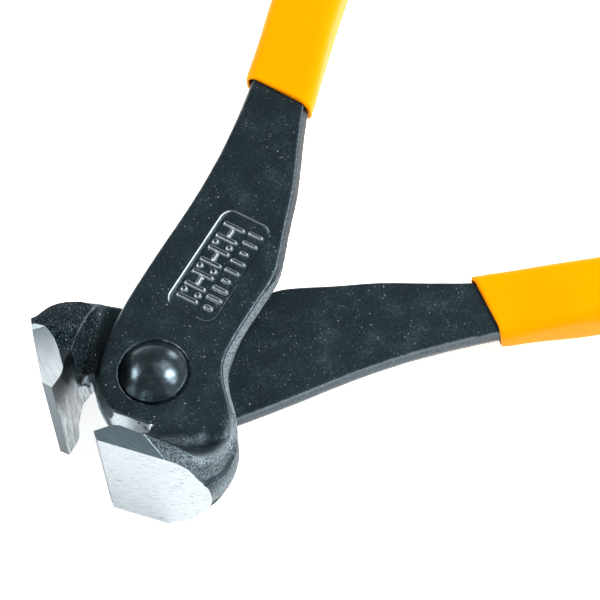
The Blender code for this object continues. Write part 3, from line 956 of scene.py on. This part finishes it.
def ground_faces(s):
    """The jaw's side plane, where the jaw is ground, its colour and its lines."""
    end, strip, side_plane = (ground_mask(s, *plane) for plane in ground_planes()[:3])
    diagonal = s.math('SUBTRACT', s.math('ADD', s.y, 7.1), s.times(s.math('ADD', s.x, 16.2), 1.6))
    side = s.times(side_plane, s.ramp(diagonal, -0.08, 0.08))
    lap_side = lap_facet_mask(s)
    flat = boss_flat_mask(s)

    lines = s.grain((0.0, -0.91, 0.41), 5.0, 0.06, 4.0)
    scratches = s.grain((0.0, -0.93, 0.37), 4.4, 0.13, 5.0)
    side_lines = s.grain((0.25, 1.0, 0.0), 4.2, 0.07, 4.0)
    colour = s.mix(s.ramp(lines, 0.34, 0.60), grey(0.33, 0.12), grey(0.41, 0.09))
    colour = s.mix(s.ramp(scratches, 0.58, 0.66), colour, grey(0.11, 0.2))
    side_colour = s.mix(s.ramp(side_lines, 0.30, 0.65), grey(0.30, 0.28), grey(0.42, 0.24))
    lap_colour = s.mix(s.ramp(side_lines, 0.25, 0.65), grey(0.72, 0.12), grey(0.98, 0.06))
    # Painted reflection: the lap facet darkens towards -Y, a painted gradient of the light it reflects.
    lap_colour = s.mix(s.ramp(s.y, -11.5, 0.5), grey(0.30, 0.2), lap_colour)
    lap_colour = s.mix(s.specks(1.1, 0.10, 0.35, s.seed), lap_colour, grey(0.25, 0.2))
    strip_colour = s.mix(s.ramp(lines, 0.3, 0.7), grey(0.045, 0.36), grey(0.08, 0.32))
    flat_colour = s.mix(s.ramp(s.gritty, 0.4, 0.6), grey(0.34, 0.14), grey(0.48, 0.1))
    colour = s.mix(side, colour, side_colour)
    colour = s.mix(lap_side, colour, lap_colour)
    colour = s.mix(strip, colour, strip_colour)
    colour = s.mix(flat, colour, flat_colour)
    return side_plane, s.most(end, strip, side, lap_side, flat), colour, lines


def forged_steel(name, turned_over, seed, rubbing):
    """Black scale with painted shade in the jaw's recess, a trimmed band, rubbed and worn edges with
    painted highlights, and bare faces at the jaw, the lap facet's with a painted gradient of reflected
    light.
    """
    s = LeverShader(name, turned_over, seed)
    colour, recess_shade = black_scale(s)
    band, band_colour = trimmed_band(s)
    colour = s.mix(band, colour, band_colour)

    rubbed = s.times(s.attribute("rubbed"), rubbing)
    granular = s.mix(s.ramp(s.gritty, 0.38, 0.64), grey(0.04, 0.35), grey(0.44, 0.2))
    colour = s.mix(rubbed, colour, granular)

    uneven = s.times(s.math('SUBTRACT', s.fine, 0.5), 0.018)
    wear_and_glint = s.math('ADD', s.attribute("wear_and_glint"), uneven)
    # Paler where the surface bulges: partly worn scale, partly a painted highlight along the edges.
    worn_and_glinting = s.ramp(wear_and_glint, 0.014, 0.032)
    colour = s.mix(s.times(worn_and_glinting, 0.7), colour, grey(0.22, 0.15))
    # Painted highlight: near-white where the value is highest, on the edges of the marks, the panel's rim
    # and the seat's rim.
    colour = s.mix(s.ramp(wear_and_glint, 0.050, 0.072), colour, grey(0.55, 0.1))

    throat, throat_colour, throat_lines = machined_throat(s)
    colour = s.mix(throat, colour, throat_colour)
    side_plane, ground, ground_colour, ground_lines = ground_faces(s)
    colour = s.mix(s.times(side_plane, 0.6), colour, granular)
    colour = s.mix(ground, colour, ground_colour)

    bare = s.most(ground, throat)
    roughness = s.blend(s.most(band, worn_and_glinting), s.blend(s.broad, 0.36, 0.50), 0.50)
    roughness = s.blend(s.most(recess_shade, rubbed), roughness, 0.58)
    roughness = s.blend(bare, roughness, s.blend(ground_lines, 0.26, 0.42))
    metallic = s.blend(recess_shade, s.blend(band, 0.88, 0.2), 0.1)
    gloss = s.blend(recess_shade, s.blend(band, 0.5, 0.1), 0.0)
    scale = s.math('ADD', s.times(s.fine, 0.6), s.times(s.gritty, s.blend(s.jaw, 1.0, 2.2)))
    lines = s.times(s.blend(ground, throat_lines, ground_lines), 0.5)
    return s.finish(
        base_color=colour, metallic=s.blend(bare, metallic, 1.0), roughness=roughness,
        specular_ior_level=gloss, normal=s.bump(s.blend(bare, scale, lines), 0.06, 0.9),
    )


def rivet_steel():
    """Glossy black, with patches rubbed bright on the dome."""
    s = Shader("rivet_black")
    broad = s.noise(0.45, 3.0)
    fine = s.noise(5.0, 3.0, 0.7)
    rubbed = s.ramp(s.math('ADD', broad, s.times(fine, 0.25)), 0.60, 0.95)
    colour = s.mix(rubbed, grey(0.075, 0.28), grey(0.13, 0.22))
    colour = s.mix(s.specks(1.4, 0.05, 0.3), colour, grey(0.6, 0.05))
    roughness = s.blend(broad, 0.25, 0.33)
    return s.finish(
        base_color=colour, metallic=0.95, roughness=roughness, normal=s.bump(fine, 0.02, 0.5)
    )


def vinyl(name, turned_over, seed):
    """Glossy dipped vinyl with a faint ripple and a slightly uneven colour."""
    s = Shader(name, turned_over)
    broad = s.noise(0.07, 2.0, offset=seed)
    ripple = s.noise(0.5, 3.0, offset=seed)
    pores = s.noise(4.0, 2.0, 0.6, offset=seed)
    colour = s.mix(broad, (0.88, 0.26, 0.0, 1.0), (0.88, 0.29, 0.0, 1.0))
    roughness = s.blend(ripple, 0.34, 0.48)
    normal = s.bump(ripple, 0.12, 0.5)
    normal = s.bump(pores, 0.015, 0.6, normal)
    return s.finish(
        base_color=colour, metallic=0.0, roughness=roughness, normal=normal,
        subsurface_weight=0.1, subsurface_scale=1.5 * MM, specular_ior_level=0.06,
        specular_tint=(0.95, 0.66, 0.02, 1.0),
    )


def floor_material():
    """Plain white paper that glows a little."""
    s = Shader("paper")
    tone = s.mix(s.noise(0.02, 2.0), grey(0.90), grey(0.93))
    return s.finish(
        base_color=tone, roughness=0.9, specular_ior_level=0.1,
        emission_color=tone, emission_strength=FLOOR_GLOW,
    )


# ---------------------------------------------------------------- scene


def build_object():
    """All the pieces of the tool, each in place of its CAD node."""
    forging = lever_mesh()
    sleeve = grip_mesh()
    for side, (turned_over, seed, rubbing) in SIDES.items():
        steel = forged_steel(side + "_forged_steel", turned_over, seed, rubbing)
        soft = vinyl(side + "_vinyl", turned_over, seed)
        lever, grip = side + "_lever", side + "_grip"
        place(side + "_forging", forging.copy(), steel, turned_over, side, lever, "forged_steel")
        place(side + "_sleeve", sleeve.copy(), soft, turned_over, side, grip, "vinyl")
    place("domed_rivet", rivet_mesh(), rivet_steel(), False, "front", "pivot_rivet", "rivet_steel")


def add_floor():
    """A pale floor under the tool."""
    bm = bmesh.new()
    bmesh.ops.create_grid(bm, x_segments=8, y_segments=8, size=FLOOR_SIZE / 2)
    mesh = bpy.data.meshes.new("floor")
    bm.to_mesh(mesh)
    bm.free()
    floor = bpy.data.objects.new("floor", mesh)
    bpy.context.scene.collection.objects.link(floor)
    floor.location.z = cad_box[0][2] - FLOOR_DROP
    mesh.materials.append(floor_material())


def add_camera():
    """The camera, looking down at the jaws."""
    back = -CAMERA_LOOK.normalized()
    right = CAMERA_UP.cross(back).normalized()
    up = back.cross(right)
    data = bpy.data.cameras.new("camera")
    data.lens = CAMERA_LENS
    data.clip_end = 20.0
    camera = bpy.data.objects.new("camera", data)
    bpy.context.scene.collection.objects.link(camera)
    turn = Matrix((right, up, back)).transposed().to_4x4()
    camera.matrix_world = Matrix.Translation(PIVOT + CAMERA_OFFSET) @ turn
    bpy.context.scene.camera = camera


def add_light(name, direction, distance, size, power):
    """A soft square light that faces the pivot."""
    direction = Vector(direction).normalized()
    data = bpy.data.lights.new(name, 'AREA')
    data.size = size
    data.energy = power
    lamp = bpy.data.objects.new(name, data)
    bpy.context.scene.collection.objects.link(lamp)
    lamp.location = PIVOT + direction * distance
    lamp.rotation_euler = (-direction).to_track_quat('-Z', 'Y').to_euler()


def add_room():
    """A room that is bright at the sides and dim overhead."""
    world = bpy.data.worlds.new("studio")
    world.use_nodes = True
    tree = world.node_tree
    backdrop = tree.nodes["Background"]
    backdrop.inputs["Color"].default_value = (0.93, 0.97, 1.0, 1.0)
    direction = tree.nodes.new("ShaderNodeSeparateXYZ")
    tree.links.new(tree.nodes.new("ShaderNodeTexCoord").outputs["Generated"], direction.inputs[0])
    level = tree.nodes.new("ShaderNodeMapRange")
    level.interpolation_type = 'SMOOTHSTEP'
    level.inputs["From Min"].default_value = HORIZON_TOP
    level.inputs["From Max"].default_value = ZENITH_FROM
    level.inputs["To Min"].default_value = HORIZON_LIGHT
    level.inputs["To Max"].default_value = ZENITH_LIGHT
    tree.links.new(direction.outputs[2], level.inputs["Value"])
    tree.links.new(level.outputs[0], backdrop.inputs["Strength"])
    bpy.context.scene.world = world


build_object()
add_floor()
add_camera()
add_room()
for lamp_name, lamp in LAMPS.items():
    add_light(lamp_name, *lamp)
bpy.context.scene.view_settings.view_transform = 'Standard'
